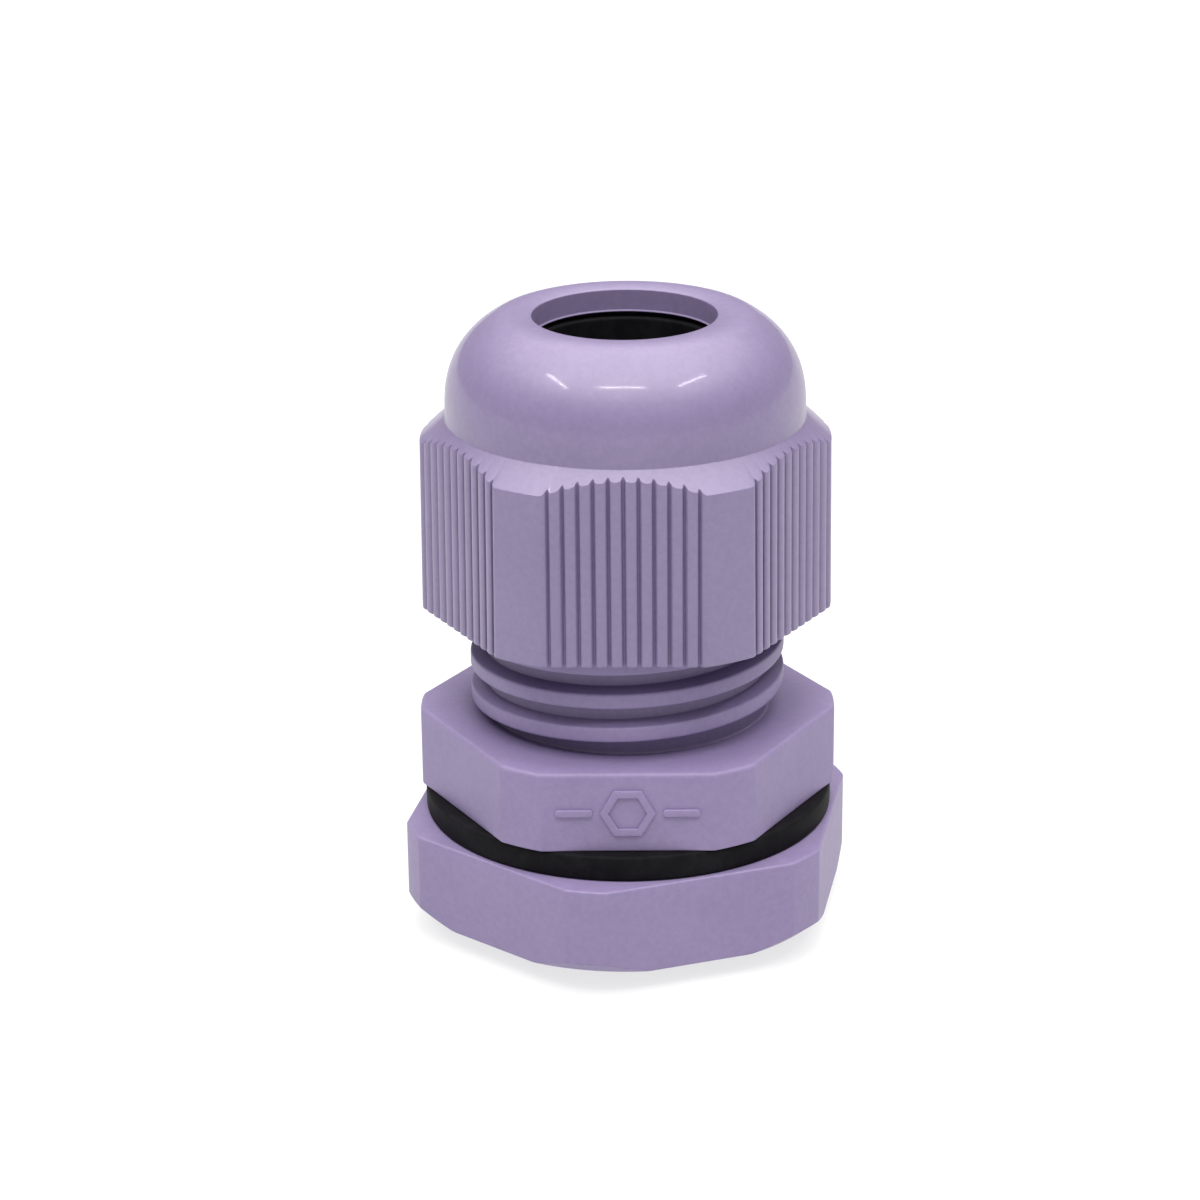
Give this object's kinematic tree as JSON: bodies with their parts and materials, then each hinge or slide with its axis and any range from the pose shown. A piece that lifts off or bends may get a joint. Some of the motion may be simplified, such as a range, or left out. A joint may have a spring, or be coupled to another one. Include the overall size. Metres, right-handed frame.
{
  "type": "cable gland",
  "caption": "Strain-relief cable gland: hexagon body with panel thread and gasket, slotted clamping cage, rubber seal, domed ribbed sealing nut and locknut.",
  "frame": {"origin": "bottom centre of the bounding box, at the free end of the panel thread, on the cable's axis", "axes": "+Z along the cable's axis, from the panel thread up to the domed sealing nut; -Y is the outward normal of the flange flat with the raised mark"},
  "size_m": [0.0256, 0.0264, 0.036],
  "materials": {
    "body_nylon": "satin moulded polyamide, grey with a lavender cast",
    "nut_nylon": "glossy moulded polyamide on the dome, satin on the ribbed skirt",
    "locknut_nylon": "satin moulded polyamide",
    "seal_rubber": "matt black rubber",
    "gasket_rubber": "matt black rubber"
  },
  "bodies": {
    "gland_body": {"gland_body": "body_nylon"},
    "sealing_insert": {"sealing_insert": "seal_rubber"},
    "sealing_nut": {"sealing_nut": "nut_nylon"},
    "gasket": {"gasket": "gasket_rubber"},
    "locknut": {"locknut": "locknut_nylon"},
    "clamping_finger_01": {"clamping_finger_01": "body_nylon"},
    "clamping_finger_02": {"clamping_finger_02": "body_nylon"},
    "clamping_finger_03": {"clamping_finger_03": "body_nylon"},
    "clamping_finger_04": {"clamping_finger_04": "body_nylon"},
    "clamping_finger_05": {"clamping_finger_05": "body_nylon"},
    "clamping_finger_06": {"clamping_finger_06": "body_nylon"},
    "clamping_finger_07": {"clamping_finger_07": "body_nylon"},
    "clamping_finger_08": {"clamping_finger_08": "body_nylon"},
    "clamping_finger_09": {"clamping_finger_09": "body_nylon"},
    "clamping_finger_10": {"clamping_finger_10": "body_nylon"}
  },
  "joints": [
    {"name": "seal_travel", "type": "slide", "parent": "gland_body", "child": "sealing_insert", "axis": [0, 0, 1], "range_m": [-0.004, 0.003]},
    {"name": "nut_turn", "type": "hinge", "parent": "sealing_insert", "child": "sealing_nut", "pos_m": [0, 0, 0.0266], "axis": [0, 0, 1], "range_deg": [-720, 540]},
    {"name": "gasket_travel", "type": "slide", "parent": "gland_body", "child": "gasket", "axis": [0, 0, 1], "range_m": [-0.00423, 0]},
    {"name": "locknut_turn", "type": "hinge", "parent": "gasket", "child": "locknut", "pos_m": [0, 0, 0.00385], "axis": [0, 0, 1], "range_deg": [-1080, 0]},
    {"name": "finger_01_bend", "type": "hinge", "parent": "gland_body", "child": "clamping_finger_01", "pos_m": [0.00755, 0, 0.0236], "axis": [0, -1, 0], "range_deg": [-4.5, 6]},
    {"name": "finger_02_bend", "type": "hinge", "parent": "gland_body", "child": "clamping_finger_02", "pos_m": [0.00611, 0.00444, 0.0236], "axis": [0.5878, -0.809, 0], "range_deg": [-4.5, 6]},
    {"name": "finger_03_bend", "type": "hinge", "parent": "gland_body", "child": "clamping_finger_03", "pos_m": [0.00233, 0.00718, 0.0236], "axis": [0.9511, -0.309, 0], "range_deg": [-4.5, 6]},
    {"name": "finger_04_bend", "type": "hinge", "parent": "gland_body", "child": "clamping_finger_04", "pos_m": [-0.00233, 0.00718, 0.0236], "axis": [0.9511, 0.309, 0], "range_deg": [-4.5, 6]},
    {"name": "finger_05_bend", "type": "hinge", "parent": "gland_body", "child": "clamping_finger_05", "pos_m": [-0.00611, 0.00444, 0.0236], "axis": [0.5878, 0.809, 0], "range_deg": [-4.5, 6]},
    {"name": "finger_06_bend", "type": "hinge", "parent": "gland_body", "child": "clamping_finger_06", "pos_m": [-0.00755, 0, 0.0236], "axis": [0, 1, 0], "range_deg": [-4.5, 6]},
    {"name": "finger_07_bend", "type": "hinge", "parent": "gland_body", "child": "clamping_finger_07", "pos_m": [-0.00611, -0.00444, 0.0236], "axis": [-0.5878, 0.809, 0], "range_deg": [-4.5, 6]},
    {"name": "finger_08_bend", "type": "hinge", "parent": "gland_body", "child": "clamping_finger_08", "pos_m": [-0.00233, -0.00718, 0.0236], "axis": [-0.9511, 0.309, 0], "range_deg": [-4.5, 6]},
    {"name": "finger_09_bend", "type": "hinge", "parent": "gland_body", "child": "clamping_finger_09", "pos_m": [0.00233, -0.00718, 0.0236], "axis": [-0.9511, -0.309, 0], "range_deg": [-4.5, 6]},
    {"name": "finger_10_bend", "type": "hinge", "parent": "gland_body", "child": "clamping_finger_10", "pos_m": [0.00611, -0.00444, 0.0236], "axis": [-0.5878, -0.809, 0], "range_deg": [-4.5, 6]}
  ],
  "couplings": [
    {"joint": "nut_turn", "follows": "seal_travel", "rad_per_m": 3141.6},
    {"joint": "locknut_turn", "follows": "gasket_travel", "rad_per_m": 4453},
    {"joint": "finger_01_bend", "follows": "seal_travel", "rad_per_m": -26.18},
    {"joint": "finger_02_bend", "follows": "seal_travel", "rad_per_m": -26.18},
    {"joint": "finger_03_bend", "follows": "seal_travel", "rad_per_m": -26.18},
    {"joint": "finger_04_bend", "follows": "seal_travel", "rad_per_m": -26.18},
    {"joint": "finger_05_bend", "follows": "seal_travel", "rad_per_m": -26.18},
    {"joint": "finger_06_bend", "follows": "seal_travel", "rad_per_m": -26.18},
    {"joint": "finger_07_bend", "follows": "seal_travel", "rad_per_m": -26.18},
    {"joint": "finger_08_bend", "follows": "seal_travel", "rad_per_m": -26.18},
    {"joint": "finger_09_bend", "follows": "seal_travel", "rad_per_m": -26.18},
    {"joint": "finger_10_bend", "follows": "seal_travel", "rad_per_m": -26.18}
  ]
}
